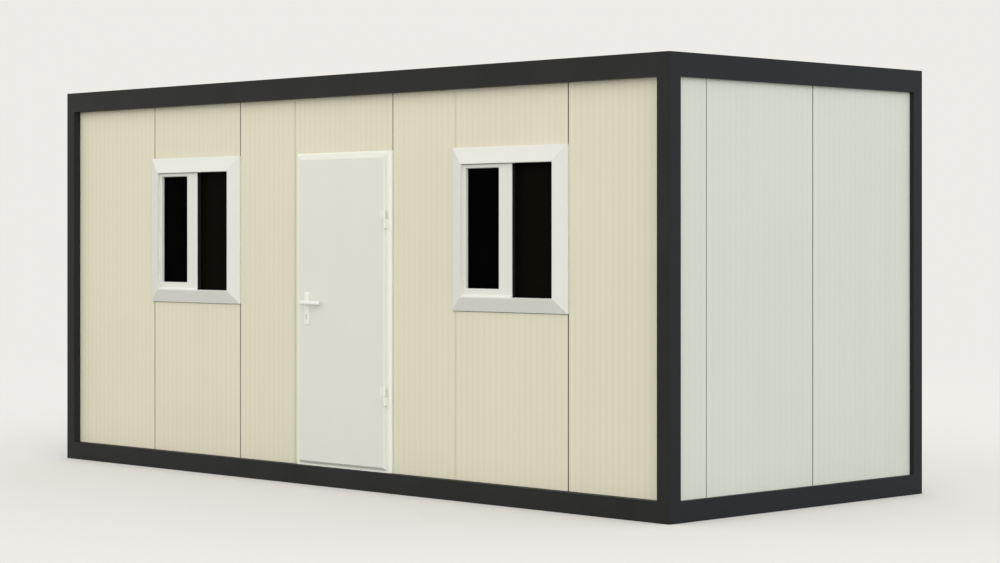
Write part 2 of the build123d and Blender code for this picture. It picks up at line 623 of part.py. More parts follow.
def window_sash():
    """The sliding sash and its pane: the meeting stile has a thin free edge."""
    face_y = -SASH_FACE
    pane_x = (SASH_PANE_LEFT, SASH_PANE_LEFT + SASH_PANE_WIDTH)
    pane_z = (SASH_Z[0] + SASH_BOTTOM_RAIL, SASH_Z[1] - SASH_TOP_RAIL)
    sash = block(SASH_X, (face_y, SASH_BACK), SASH_Z) - block(pane_x, (face_y, SASH_BACK), pane_z)
    sash = chamfer(sash.faces().sort_by(Axis.Y)[0].inner_wires()[0].edges(), SASH_CHAMFER)
    free_edge = (SASH_X[1] - MEETING_LIP_WIDTH, SASH_X[1])
    sash -= block(free_edge, (face_y + MEETING_LIP, SASH_BACK), SASH_Z)
    weather_bar = Polyline(
        (face_y, SASH_Z[0]),
        (face_y - WEATHER_BAR_REACH, SASH_Z[0]),
        (face_y - WEATHER_BAR_REACH, SASH_Z[0] + WEATHER_BAR_EDGE),
        (face_y, SASH_Z[0] + WEATHER_BAR_HEIGHT),
        close=True,
    )
    bar_length = SASH_X[1] - SASH_X[0]
    sash += Pos(SASH_X[0], 0, 0) * extrude(Plane.YZ * make_face(weather_bar), bar_length)
    pane_y = (face_y + SASH_PANE_INSET, face_y + SASH_PANE_INSET + PANE)
    pane = block(inside(pane_x, -PANE_EDGE), pane_y, inside(pane_z, -PANE_EDGE))
    return sash - pane, pane


bar, fixed_pane = fixed_light()
frame_solids = window_frame(bar, fixed_pane)
sash_solid, sash_pane = window_sash()
panes = Compound(children=[sash_pane, fixed_pane])
for name, (place, *_) in WINDOW_SLOTS.items():
    at = place * Pos(0, 0, WINDOW_BODY_Z[0] - BASE_RAIL_HEIGHT)
    parts[name + "_frame"] = at * frame_solids
    parts[name + "_sash"] = at * sash_solid
    parts[name + "_panes"] = at * panes

os.makedirs("parts", exist_ok=True)
for name, shape in parts.items():
    export_step(shape, f"parts/{name}.step")
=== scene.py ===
import math

import bmesh
import bpy
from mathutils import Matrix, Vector


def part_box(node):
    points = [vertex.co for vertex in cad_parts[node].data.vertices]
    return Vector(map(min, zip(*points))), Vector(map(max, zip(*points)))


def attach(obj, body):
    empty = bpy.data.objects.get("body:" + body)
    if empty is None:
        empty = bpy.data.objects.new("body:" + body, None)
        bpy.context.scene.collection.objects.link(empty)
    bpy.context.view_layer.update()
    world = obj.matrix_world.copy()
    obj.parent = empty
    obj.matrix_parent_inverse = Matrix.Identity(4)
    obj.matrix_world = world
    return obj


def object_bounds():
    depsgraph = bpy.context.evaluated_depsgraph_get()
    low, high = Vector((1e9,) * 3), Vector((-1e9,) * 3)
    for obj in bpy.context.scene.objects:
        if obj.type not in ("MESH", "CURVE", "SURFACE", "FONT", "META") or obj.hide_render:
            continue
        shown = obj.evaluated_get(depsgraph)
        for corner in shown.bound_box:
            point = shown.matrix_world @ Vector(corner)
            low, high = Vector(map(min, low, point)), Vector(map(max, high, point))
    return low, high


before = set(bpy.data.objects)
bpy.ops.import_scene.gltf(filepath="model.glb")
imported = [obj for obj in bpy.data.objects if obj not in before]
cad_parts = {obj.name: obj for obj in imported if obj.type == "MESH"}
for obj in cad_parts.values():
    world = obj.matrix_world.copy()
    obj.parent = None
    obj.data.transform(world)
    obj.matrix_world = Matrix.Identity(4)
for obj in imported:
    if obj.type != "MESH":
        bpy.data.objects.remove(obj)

CAD_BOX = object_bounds()
WALL_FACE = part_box("front_panel_1")[0][1]

# ---- sizes, in metres ---------------------------------------------------------------------
RIB_PITCH = 0.0517        # one shallow rib of a wall panel's steel face
RIB_RISE = 0.0013         # how far a rib's crown stands out of its edges
RIB_STEPS = 8
LONG_VALLEY_PAINTED_SHADE = 0.075  # how far the valleys between ribs go towards their darker shade,
END_VALLEY_PAINTED_SHADE = 0.035   # which stands in for shading: ribs this shallow hardly shade
VALLEY_SHADE = 0.5        # that shade, as a share of the panel's colour
RIB_LEFT_OUT = 0.25       # a last rib narrower than this share of the pitch is left out
RIB_STRETCH = 0.2         # ribs are spread to fit where they end within this share of it
SKIN = 0.0004             # thickness of the steel face
SKIN_LIFT = 0.0001        # its back stands this far off the panel's core
SKIN_MARGIN = 0.0003      # it stops this far short of the core's edges
SKIN_BEND = 0.0008        # its long edges are turned back by this much
JOINT_STRIP_DEPTH = 0.0015       # a black strip in a panel joint, behind the wall face, as painted shade of the joint
JOINT_STRIP_THICKNESS = 0.003
SEAL_BEVEL = 0.001
JOINT_STRIP_CORNER = 0.3         # in a tight joint the bevel is this share of its width
SEAL_PLAY = 0.0001
DOOR_SEAL_WIDTH = 0.009   # round the doorway, under the leaf's lip
DOOR_SEAL_GAP = 0.0005
DOOR_SEAL_ROUND = 0.0015
LIP_THICKNESS = 0.012     # the leaf's front face to the back of its lip
SASH_STILE = 0.0245
SASH_FOOT = 0.051
SASH_HEAD = 0.024
MEETING_STILE = 0.119
MEETING_LIP = 0.020
WEATHER_BAR = 0.010       # the weather bar's edge in front of the sash's face
SASH_GLASS = 0.024        # the sash's pane behind its face
LIP_DEPTH = 0.0042
FIXED_GLASS = 0.0458
GLAZING_SEAL = 0.003
GLAZING_SEAL_DEPTH = 0.002
INTERLOCK_SEAL = 0.003
CASING_STRIP_SHOWN = 0.0035   # painted shade: a black strip shown below the casing's bottom edge
CASING_STRIP_HIDDEN = 0.004   # behind the casing
CASING_STRIP_INSET = 0.001    # short of the casing's ends
CASING_STRIP_FRONT = 0.0019   # its front, out of the wall's face
CASING_STRIP_BEVEL = 0.0006
POST_BEND = 0.013         # where a post's round outside edge turns to the cabin's end
PANES_APART = 0.015       # behind the front wall's face, between the two panes
STOP_SEAL_INSET = 0.0165  # from the leaf's lip to the seal on the frame's stop
STOP_SEAL = 0.006
STOP_SEAL_DEPTH = 0.0045
LEAF_GAP = 0.005          # between the closed leaf and the stop
LEAF_THICKNESS = 0.045
HINGE_PLATE = 0.003
HINGE_SCREW_EDGE = 0.012  # the plate's free edge to its screws
KNUCKLE = 0.057           # height of each half of a hinge
PLATE_SCREW_EDGE = 0.011  # the handle plate's ends to its screws
ROOF_PITCH = 0.2          # of the sheet's ribs, with a screw in every trough
ROOF_SCREW_EDGE = 0.025   # from the sheet's eaves
ROOF_RIB = 0.02
# screws: radius, height, radius of the middle, and how far that is raised or sunk
HINGE_SCREW = (0.0045, 0.0012, 0.0018, -0.0008)
PLATE_SCREW = (0.0042, 0.0012, 0.0018, -0.0008)
ROOF_SCREW = (0.009, 0.0016, 0.0045, 0.005)
SCREW_SIDES = 12
SCREW_ROUND = 0.3         # bevel of a screw's rim, as a share of its height
SCREW_TOP = 0.7           # radius of its flat top, as a share of its own

SMOOTH = 40               # degrees between faces that are shaded as one surface
RIB_SMOOTH = 5            # less on the skins, so that the valleys stay crisp

# Each side of the cabin as seen from outside: its rightward and its outward directions.
SIDES = {
    "front": (Vector((1, 0, 0)), Vector((0, -1, 0))),
    "right": (Vector((0, 1, 0)), Vector((1, 0, 0))),
    "back": (Vector((-1, 0, 0)), Vector((0, 1, 0))),
    "left": (Vector((0, -1, 0)), Vector((-1, 0, 0))),
}


# ---- material building --------------------------------------------------------------------
class Wire:
    """A socket of a material. Arithmetic on it adds the Math nodes that work it out."""

    def __init__(self, socket):
        self.socket = socket

    def _math(self, operation, *terms):
        node = self.socket.id_data.nodes.new("ShaderNodeMath")
        node.operation = operation
        for place, term in enumerate(terms):
            plug(node.inputs[place], term)
        return Wire(node.outputs[0])

    def __add__(self, other):
        return self._math("ADD", self, other)

    def __sub__(self, other):
        return self._math("SUBTRACT", self, other)

    def __rsub__(self, other):
        return self._math("SUBTRACT", other, self)

    def __mul__(self, other):
        return self._math("MULTIPLY", self, other)

    def __truediv__(self, other):
        return self._math("DIVIDE", self, other)

    def __pow__(self, other):
        return self._math("POWER", self, other)

    def __gt__(self, other):
        return self._math("GREATER_THAN", self, other)

    def __abs__(self):
        return self._math("ABSOLUTE", self)

    def between(self, low, high):
        """0 at low, 1 at high, and clamped outside them."""
        share = (self - low) / (high - low)
        share.socket.node.use_clamp = True
        return share

    def most(self, other):
        return self._math("MAXIMUM", self, other)

    __radd__ = __add__
    __rmul__ = __mul__


def plug(socket, value):
    """Links a wire to a socket, or sets the socket's own value."""
    if isinstance(value, Wire):
        socket.id_data.links.new(value.socket, socket)
    else:
        socket.default_value = value


class Finish:
    """A material under construction, around one Principled shader."""

    def __init__(self, name, **constants):
        self.material = bpy.data.materials.new(name)
        self.material.use_nodes = True
        self.tree = self.material.node_tree
        self.shader = self.tree.nodes["Principled BSDF"]
        for socket, value in constants.items():
            self.shader.inputs[socket.replace("_", " ")].default_value = value

    def node(self, kind, settings=None, inputs=None, output=0):
        """Adds a node: its settings first, then the values or wires of its sockets."""
        node = self.tree.nodes.new("ShaderNode" + kind)
        for setting, value in (settings or {}).items():
            setattr(node, setting, value)
        for socket, value in (inputs or {}).items():
            plug(node.inputs[socket], value)
        return Wire(node.outputs[output])

    def place(self):
        """Object coordinates, which are the cabin's own metres."""
        return self.node("TexCoord", output=3)

    def axes(self):
        split = self.node("SeparateXYZ", inputs={0: self.place()})
        return [Wire(socket) for socket in split.socket.node.outputs]

    def noise(self, scale, detail=2.0, stretch=(1, 1, 1), roughness=0.5):
        spread = self.node("Mapping", inputs={"Vector": self.place(), "Scale": stretch})
        return self.node(
            "TexNoise",
            inputs={"Vector": spread, "Scale": scale, "Detail": detail, "Roughness": roughness},
        )

    def tint(self, share, low, high):
        """The colour low where share is 0 and high where it is 1."""
        node = self.tree.nodes.new("ShaderNodeMix")
        node.data_type = "RGBA"
        for socket, value in ((0, share), (6, low), (7, high)):
            plug(node.inputs[socket], (*value, 1) if isinstance(value, tuple) else value)
        return Wire(node.outputs[2])

    def paint(self, colour, roughness=None, alpha=None):
        colours = (*colour, 1) if isinstance(colour, tuple) else colour
        wires = {"Base Color": colours, "Roughness": roughness, "Alpha": alpha}
        for socket, value in wires.items():
            if value is not None:
                plug(self.shader.inputs[socket], value)

    def relief(self, height, distance, strength=1.0):
        bump = self.node(
            "Bump", inputs={"Height": height, "Distance": distance, "Strength": strength}
        )
        plug(self.shader.inputs["Normal"], bump)
        return self


def srgb(red, green, blue):
    """A display colour, 0 to 255, as the linear colour that the shaders take."""
    def linear(value):
        value /= 255
        return value / 12.92 if value <= 0.04045 else ((value + 0.055) / 1.055) ** 2.4
    return tuple(linear(value) for value in (red, green, blue))


def shade(colour, factor):
    return tuple(value * factor for value in colour)


def coated_steel(name, colour, valley_painted_shade=0.0, spread=0.02):
    """Coil-coated sheet: faintly cloudy, finely pebbled, with painted shade between its ribs."""
    finish = Finish(name, Specular_IOR_Level=0.06)
    clouds = finish.noise(0.9, 3, roughness=0.55)
    streaks = finish.noise(7, 2, stretch=(1, 1, 0.06))
    tone = (clouds * 0.7 + streaks * 0.3).between(0.35, 0.65)
    clean = finish.tint(tone, shade(colour, 1 - spread), shade(colour, 1 + spread))
    # painted shade in the valleys between ribs, which stands in for their shading
    valley = finish.node("Attribute", {"attribute_name": "valley"}, output=2)
    finish.paint(
        colour=finish.tint(valley * valley_painted_shade, clean, shade(colour, VALLEY_SHADE)),
        roughness=0.5 + clouds * 0.12,
    )
    return finish.relief(finish.noise(900, 2), 0.00001).material


def frame_paint():
    """Sprayed anthracite on folded steel, with painted cool light making the cabin's ends bluer.
    """
    colour = (0.0212, 0.0213, 0.0203)
    finish = Finish("anthracite_paint", Specular_IOR_Level=0.06)
    clouds = finish.noise(1.7, 4, roughness=0.6)
    sides = finish.tint(clouds.between(0.3, 0.7), shade(colour, 0.85), shade(colour, 1.15))
    along, _, _ = finish.axes()
    # painted cool light: the frame's faces on the cabin's ends are tinted bluer
    cool_light_on_end = abs(along).between(CAD_BOX[1][0] - POST_BEND, CAD_BOX[1][0])
    finish.paint(
        colour=finish.tint(cool_light_on_end, sides, (0.0173, 0.0189, 0.0214)),
        roughness=0.42 + clouds * 0.16,
    )
    return finish.relief(finish.noise(450, 2), 0.0001, 0.5).material


def white_plastic():
    colour = srgb(217, 217, 208)
    finish = Finish("white_window_plastic", Specular_IOR_Level=0.1)
    clouds = finish.noise(2.5, 2)
    finish.paint(
        colour=finish.tint(clouds, shade(colour, 0.985), shade(colour, 1.015)),
        roughness=0.34 + clouds * 0.1,
    )
    return finish.relief(finish.noise(260, 2), 0.00003, 0.5).material


def glass_with_painted_shade():
    """Near-black panes, painted as the shade inside; the fixed one, further back, slightly brown.
    """
    finish = Finish("glass_with_painted_shade", Specular_IOR_Level=0.002)
    clouds = finish.noise(1.3, 2)
    _, depth, _ = finish.axes()
    fixed = depth > WALL_FACE + PANES_APART
    # painted shade: the dark inside, as seen through the sash's pane
    sash_pane_painted_shade = finish.tint(clouds, (0.0003, 0.0003, 0.0003), (0.0007, 0.0007, 0.0007))
    # painted light: the brown room, as seen through the fixed pane
    fixed_pane_painted_room_light = finish.tint(clouds, (0.0036, 0.0029, 0.0018), (0.0054, 0.0044, 0.0028))
    finish.paint(
        colour=finish.tint(fixed, sash_pane_painted_shade, fixed_pane_painted_room_light),
        roughness=0.03 + clouds * 0.04,
        alpha=0.95,
    )
    return finish.material


def satin_white(name, colour):
    finish = Finish(name, Specular_IOR_Level=0.12)
    clouds = finish.noise(5, 2)
    finish.paint(
        colour=finish.tint(clouds, shade(colour, 0.985), shade(colour, 1.015)),
        roughness=0.3 + clouds * 0.12,
    )
    return finish.relief(finish.noise(500, 2), 0.00004, 0.6).material


def plated_metal():
    finish = Finish("nickel_plate", Metallic=1.0)
    grain = finish.noise(300, 2, stretch=(1, 1, 8))
    colour = (0.62, 0.58, 0.5)
    finish.paint(
        colour=finish.tint(grain, shade(colour, 0.9), colour), roughness=0.22 + grain * 0.16
    )
    return finish.material


def galvanised():
    finish = Finish("galvanised_steel", Metallic=0.85)
    spangle = finish.node("TexVoronoi", inputs={"Vector": finish.place(), "Scale": 90.0}, output=1)
    grey = finish.node("RGBToBW", inputs={0: spangle})
    finish.paint(
        colour=finish.tint(grey, (0.36, 0.37, 0.39), (0.55, 0.56, 0.58)),
        roughness=0.38 + grey * 0.2,
    )
    return finish.material


def floor_covering():
    finish = Finish("vinyl_floor")
    clouds = finish.noise(1.2, 3)
    flecks = finish.noise(160, 3, roughness=0.8)
    tone = (clouds * 0.4 + flecks * 0.6).between(0.35, 0.65)
    finish.paint(
        colour=finish.tint(tone, (0.17, 0.15, 0.13), (0.29, 0.265, 0.235)),
        roughness=0.45 + flecks * 0.2,
    )
    return finish.relief(flecks, 0.0002, 0.4).material


def ceiling_steel():
    return coated_steel("white_ceiling_steel", (0.72, 0.72, 0.7), spread=0.015)


def roof_coating():
    finish = Finish("grey_roof_coating", Specular_IOR_Level=0.3)
    clouds = finish.noise(1.1, 4, roughness=0.6)
    dust = finish.noise(26, 3, stretch=(1, 0.25, 1))
    tone = (clouds * 0.6 + dust * 0.4).between(0.35, 0.65)
    finish.paint(
        colour=finish.tint(tone, (0.40, 0.41, 0.42), (0.50, 0.51, 0.52)),
        roughness=0.45 + dust * 0.25,
    )
    return finish.relief(finish.noise(700, 2), 0.00005).material


# black rubber for the seals, also used for strips of painted shade in panel joints and under
# casings
def black_rubber_and_painted_shade():
    finish = Finish("black_rubber_and_painted_shade", Specular_IOR_Level=0.3)
    clouds = finish.noise(40, 2)
    finish.paint(
        colour=finish.tint(clouds, (0.006, 0.006, 0.006), (0.013, 0.012, 0.011)),
        roughness=0.6 + clouds * 0.2,
    )
    return finish.material


LONG_WALL = coated_steel("cream_coated_steel", srgb(216, 211, 187), LONG_VALLEY_PAINTED_SHADE)
END_WALL = coated_steel("grey_white_coated_steel", srgb(199, 203, 193), END_VALLEY_PAINTED_SHADE)
FINISHES = {
    "frame_paint": frame_paint(),
    "long_wall_panel": LONG_WALL,
    "end_wall_panel": END_WALL,
    "door_paint": satin_white("door_paint", srgb(216, 216, 205)),
    "door_frame_paint": satin_white("door_frame_paint", srgb(226, 227, 215)),
    "window_frame": white_plastic(),
    "glass": glass_with_painted_shade(),
    "handle_metal": satin_white("white_handle_coating", srgb(227, 228, 220)),
    "lock_metal": plated_metal(),
    "hinge_steel": satin_white("white_hinge_paint", srgb(227, 228, 218)),
    "joist_steel": galvanised(),
    "floor_board": floor_covering(),
    "ceiling_panel": ceiling_steel(),
    "roof_sheet": roof_coating(),
}
RUBBER_AND_PAINTED_SHADE = black_rubber_and_painted_shade()
SEAL_WHITE = satin_white("pale_seal", srgb(222, 223, 212))


def finish_frame():
    """Gives every CAD node the finish of its material slot in the record."""
    for name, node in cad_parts.items():
        for held in node.material_slots:
            held.material = FINISHES[held.material.name]


# ---- modelling tools ----------------------------------------------------------------------
def deselect_all():
    bpy.ops.object.select_all(action="DESELECT")


def edit(piece=None):
    """Opens a piece's mesh for modelling, with all of it selected."""
    if piece is not None:
        deselect_all()
        piece.select_set(True)
        bpy.context.view_layer.objects.active = piece
    bpy.ops.object.mode_set(mode="EDIT")
    bpy.ops.mesh.select_all(action="SELECT")


def select(kind, test):
    """Selects the active mesh's vertices, edges or faces whose middle passes the test."""
    piece = bpy.context.active_object
    bpy.ops.mesh.select_mode(type=kind)
    mesh = bmesh.from_edit_mesh(piece.data)
    for vertex in mesh.verts:
        vertex.select = False
    mesh.select_flush(False)
    for item in {"VERT": mesh.verts, "EDGE": mesh.edges, "FACE": mesh.faces}[kind]:
        corners = [item] if kind == "VERT" else item.verts
        middle = sum((corner.co for corner in corners), Vector()) / len(corners)
        item.select_set(test(middle))
    bmesh.update_edit_mesh(piece.data)


def finish_piece(name, body, material, smooth=None):
    piece = bpy.context.active_object
    if piece.mode == "EDIT":
        bpy.ops.object.mode_set(mode="OBJECT")
    piece.name = name
    piece.data.name = name
    if smooth:
        bpy.ops.object.shade_smooth_by_angle(angle=math.radians(smooth))
    piece.data.materials.clear()
    piece.data.materials.append(material)
    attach(piece, body)
    return piece


def apply_modifier(kind, **settings):
    """Adds a modifier to the active object and applies it."""
    if bpy.context.active_object.mode == "EDIT":
        bpy.ops.object.mode_set(mode="OBJECT")
    piece = bpy.context.active_object
    modifier = piece.modifiers.new(kind.lower(), kind)
    for setting, value in settings.items():
        setattr(modifier, setting, value)
    bpy.ops.object.modifier_apply(modifier=modifier.name)


def bar(low, high):
    """Opens a new block in edit mode between two corners."""
    deselect_all()
    bpy.ops.mesh.primitive_cube_add(size=1)
    edit()
    size = [b - a for a, b in zip(low, high)]
    middle = [(a + b) / 2 for a, b in zip(low, high)]
    bpy.ops.transform.resize(value=size)
    bpy.ops.transform.translate(value=middle)


def wall_face(node, side):
    """The flat face of a CAD panel on its outer side: (left, right), (foot, head), depth."""
    right, outward = SIDES[side]
    points = [vertex.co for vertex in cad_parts[node].data.vertices]
    depth = max(point.dot(outward) for point in points)
    face = [point for point in points if near(point.dot(outward), depth, 1e-5)]
    along = [point.dot(right) for point in face]
    heights = [point.z for point in face]
    return (min(along), max(along)), (min(heights), max(heights)), depth


def near(value, target, within=1e-6):
    return abs(value - target) < within


def turn(degrees, axis, centre=(0, 0, 0)):
    """Turns what is selected anticlockwise about an axis."""
    bpy.ops.transform.rotate(
        value=-math.radians(degrees), orient_axis=axis, center_override=centre
    )


def turn_to_side(side):
    """Turns what is selected from the front of the cabin, about its middle, to another side."""
    bpy.ops.mesh.select_all(action="SELECT")
    turn({"front": 0, "right": 90, "back": 180, "left": 270}[side], "Z")


def upright_ring(x, z, width, front, back):
    """Opens a rectangular ring in edit mode: outer spans, face width, front and back depth."""
    deselect_all()
    bpy.ops.mesh.primitive_plane_add(size=1)
    edit()
    turn(90, "X")
    bpy.ops.transform.resize(value=(x[1] - x[0], 1, z[1] - z[0]))
    bpy.ops.transform.translate(value=((x[0] + x[1]) / 2, front, (z[0] + z[1]) / 2))
    bpy.ops.mesh.inset(thickness=width)
    bpy.ops.mesh.delete(type="FACE")
    bpy.ops.mesh.select_all(action="SELECT")
    bpy.ops.mesh.extrude_region_move(TRANSFORM_OT_translate={"value": (0, back - front, 0)})
    bpy.ops.mesh.select_all(action="SELECT")
    bpy.ops.mesh.normals_make_consistent(inside=False)


# ---- wall panels --------------------------------------------------------------------------
def ribbed_skin(node, side, from_right):
    """The steel face of a panel: shallow ribs from its factory edge, cut off at the other."""
    (left, right), (foot, head), depth = wall_face(node, side)
    left, right = left + SKIN_MARGIN, right - SKIN_MARGIN
    count = max(1, math.ceil((right - left) / RIB_PITCH - RIB_LEFT_OUT))
    whole = abs(count * RIB_PITCH - (right - left)) < RIB_STRETCH * RIB_PITCH
    pitch = (right - left) / count if whole else RIB_PITCH
    length = count * pitch
    start = right - length if from_right else left
    surface = depth + SKIN_LIFT + SKIN

    deselect_all()
    bpy.ops.mesh.primitive_grid_add(x_subdivisions=count * RIB_STEPS, y_subdivisions=1, size=1)
    edit()
    turn(90, "X")
    bpy.ops.transform.resize(value=(length, 1, head - foot - 2 * SKIN_MARGIN))
    bpy.ops.transform.translate(value=(start + length / 2, -surface, (foot + head) / 2))
    for step in range(1, RIB_STEPS):
        share = 2 * step / RIB_STEPS - 1
        select(
            "VERT",
            lambda point: round((point.x - start) / pitch * RIB_STEPS) % RIB_STEPS == step,
        )
        bpy.ops.transform.translate(value=(0, -RIB_RISE * (1 - share * share), 0))
    if not whole:
        edge = left if from_right else right
        bpy.ops.mesh.select_all(action="SELECT")
        bpy.ops.mesh.bisect(
            plane_co=(edge, 0, 0), plane_no=(-1 if from_right else 1, 0, 0), clear_outer=True
        )
    select("VERT", lambda point: min(point.x - left, right - point.x) < SKIN_MARGIN / 2)
    bpy.ops.mesh.extrude_region_move(TRANSFORM_OT_translate={"value": (0, SKIN_BEND, 0)})
    turn_to_side(side)
    apply_modifier("SOLIDIFY", thickness=SKIN, offset=-1, use_even_offset=True)
    slot = "end_wall_panel" if side in ("left", "right") else "long_wall_panel"
    piece = finish_piece(node + "_skin", "cabin", FINISHES[slot], RIB_SMOOTH)
    # painted shade: darkest at each valley between ribs, none on the crowns
    valley = piece.data.attributes.new("valley", "FLOAT", "POINT")
    for vertex, held in zip(piece.data.vertices, valley.data):
        share = (vertex.co.dot(SIDES[side][0]) - start) / pitch % 1
        held.value = (2 * share - 1) ** 2
    return piece


def wall_skins():
    panels = {
        "front": ["front_panel_1", "window_1_panel_below", "window_1_panel_above",
                  "front_panel_3", "door_panel_above", "door_panel_beside", "front_panel_5",
                  "window_2_panel_below", "window_2_panel_above", "front_panel_7"],
        "back": [f"back_panel_{number}" for number in range(1, 7)],
        "right": [f"right_panel_{number}" for number in range(1, 4)],
        "left": [f"left_panel_{number}" for number in range(1, 4)],
    }
    for side, nodes in panels.items():
        for node in nodes:
            ribbed_skin(node, side, from_right=node.endswith("panel_1"))


def joint_shade_strip(left_node, right_node, side):
    """A black strip between two neighbouring panels, just behind their faces: painted shade."""
    (_, left), left_z, depth = wall_face(left_node, side)
    (right, _), right_z, _ = wall_face(right_node, side)
    foot, head = max(left_z[0], right_z[0]), min(left_z[1], right_z[1])
    front = -depth + JOINT_STRIP_DEPTH
    bar(
        (left + SEAL_PLAY, front, foot + SKIN_MARGIN),
        (right - SEAL_PLAY, front + JOINT_STRIP_THICKNESS, head - SKIN_MARGIN),
    )
    half_way = (foot + head) / 2
    select("EDGE", lambda middle: near(middle.y, front) and near(middle.z, half_way, 1e-3))
    bpy.ops.mesh.bevel(offset=min(JOINT_STRIP_CORNER * (right - left), SEAL_BEVEL), segments=3)
    turn_to_side(side)
    name = f"shade_strip_{left_node}_{right_node}"
    return finish_piece(name, "cabin", RUBBER_AND_PAINTED_SHADE, SMOOTH)


def joint_shade_strips():
    for left_node, right_node in (
        ("front_panel_1", "window_1_panel_below"),
        ("front_panel_1", "window_1_panel_above"),
        ("window_1_panel_below", "front_panel_3"),
        ("window_1_panel_above", "front_panel_3"),
        ("front_panel_3", "door_panel_beside"),
        ("front_panel_3", "door_panel_above"),
        ("door_panel_above", "front_panel_5"),
        ("front_panel_5", "window_2_panel_below"),
        ("front_panel_5", "window_2_panel_above"),
        ("window_2_panel_below", "front_panel_7"),
        ("window_2_panel_above", "front_panel_7"),
    ):
        joint_shade_strip(left_node, right_node, "front")
    for side, panels in (("back", 6), ("right", 3), ("left", 3)):
        for number in range(1, panels):
            joint_shade_strip(f"{side}_panel_{number}", f"{side}_panel_{number + 1}", side)


# ---- door ---------------------------------------------------------------------------------
def door_seal():
    """The pale hollow seal on the door frame's face, under the leaf's lip."""
    low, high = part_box("door_leaf")
    frame_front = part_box("door_frame")[0][1]
    lip_back = low[1] + LIP_THICKNESS
    upright_ring((low[0], high[0]), (low[2], high[2]), DOOR_SEAL_WIDTH,
                 lip_back + DOOR_SEAL_GAP, frame_front)
    front = lip_back + DOOR_SEAL_GAP
    select("EDGE", lambda middle: near(middle.y, front))
    bpy.ops.mesh.bevel(offset=DOOR_SEAL_ROUND, segments=3)
    return finish_piece("door_seal", "cabin", SEAL_WHITE, SMOOTH)


# ---- windows ------------------------------------------------------------------------------
def glazing_seals_and_casing_shade_strip(window):
    """Black seals on both panes and where the sash meets the fixed pane; painted shade under the
    casing.
    """
    sash_low, sash_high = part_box(window + "_sash")
    frame_low, frame_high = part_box(window + "_frame")
    # the panes stand in grooves, so their openings come from the members around them
    left, right = sash_low[0] + SASH_STILE, sash_high[0] - MEETING_STILE
    foot, head = sash_low[2] + SASH_FOOT, sash_high[2] - SASH_HEAD
    face = sash_low[1] + WEATHER_BAR
    glass = face + SASH_GLASS
    front = glass - GLAZING_SEAL_DEPTH
    upright_ring((left, right), (foot, head), GLAZING_SEAL, front, glass)
    select("EDGE", lambda middle: near(middle.y, front))
    bpy.ops.mesh.bevel(offset=SEAL_BEVEL, segments=2)
    finish_piece(window + "_sash_glazing_seal", "cabin", RUBBER_AND_PAINTED_SHADE, SMOOTH)

    body_right = sash_high[0] - MEETING_LIP
    bar((body_right, face + LIP_DEPTH, sash_low[2]),
        (body_right + INTERLOCK_SEAL, face + FIXED_GLASS, sash_high[2]))
    select("EDGE", lambda middle: near(middle.x, body_right + INTERLOCK_SEAL))
    bpy.ops.mesh.bevel(offset=SEAL_BEVEL, segments=2)
    finish_piece(window + "_interlock_seal", "cabin", RUBBER_AND_PAINTED_SHADE, SMOOTH)

    # painted shade: a black strip just below the casing's bottom edge, where its shadow falls
    edge_z = frame_low[2]
    foot = edge_z - CASING_STRIP_SHOWN
    bar((frame_low[0] + CASING_STRIP_INSET, WALL_FACE - CASING_STRIP_FRONT, foot),
        (frame_high[0] - CASING_STRIP_INSET, WALL_FACE - SEAL_PLAY, edge_z + CASING_STRIP_HIDDEN))
    select("EDGE", lambda middle: near(middle.z, foot))
    bpy.ops.mesh.bevel(offset=CASING_STRIP_BEVEL, segments=2)
    finish_piece(window + "_casing_shade_strip", "cabin", RUBBER_AND_PAINTED_SHADE, SMOOTH)


def stop_seal():
    """The black bulb seal on the frame's stop, which the closed leaf presses on."""
    low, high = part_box("door_leaf")
    stop = low[1] + LEAF_THICKNESS + LEAF_GAP
    front = stop - STOP_SEAL_DEPTH
    spans = [(low[axis] + STOP_SEAL_INSET, high[axis] - STOP_SEAL_INSET) for axis in (0, 2)]
    upright_ring(*spans, STOP_SEAL, front, stop)
    select("EDGE", lambda middle: near(middle.y, front))
    bpy.ops.mesh.bevel(offset=DOOR_SEAL_ROUND, segments=3)
    return finish_piece("door_stop_seal", "cabin", RUBBER_AND_PAINTED_SHADE, SMOOTH)


# ---- screws -------------------------------------------------------------------------------
def stepped_disc(radius, height, inner, step):
    """Opens a disc in edit mode, standing on the origin, its middle raised or sunk by a step."""
    deselect_all()
    bpy.ops.mesh.primitive_cylinder_add(vertices=SCREW_SIDES, radius=radius, depth=height)
    edit()
    bpy.ops.transform.translate(value=(0, 0, height / 2))
    select("EDGE", lambda middle: near(middle.z, height))
    bpy.ops.mesh.bevel(offset=SCREW_ROUND * height, segments=2)
    select("FACE", lambda middle: near(middle.z, height))
    bpy.ops.mesh.inset(thickness=SCREW_TOP * radius - inner)
    bpy.ops.mesh.extrude_region_move(TRANSFORM_OT_translate={"value": (0, 0, step)})
    bpy.ops.mesh.select_all(action="SELECT")


def set_disc(place):
    """Moves the disc to its place, and puts its faces in an order that is the same in each run."""
    bpy.ops.transform.translate(value=place)
    bpy.ops.mesh.sort_elements(type="CURSOR_DISTANCE", elements={"FACE"})


def row(count, step):
    """Repeats the active piece in a straight row."""
    apply_modifier(
        "ARRAY", count=count, use_relative_offset=False, use_constant_offset=True,
        constant_offset_displace=step,
    )


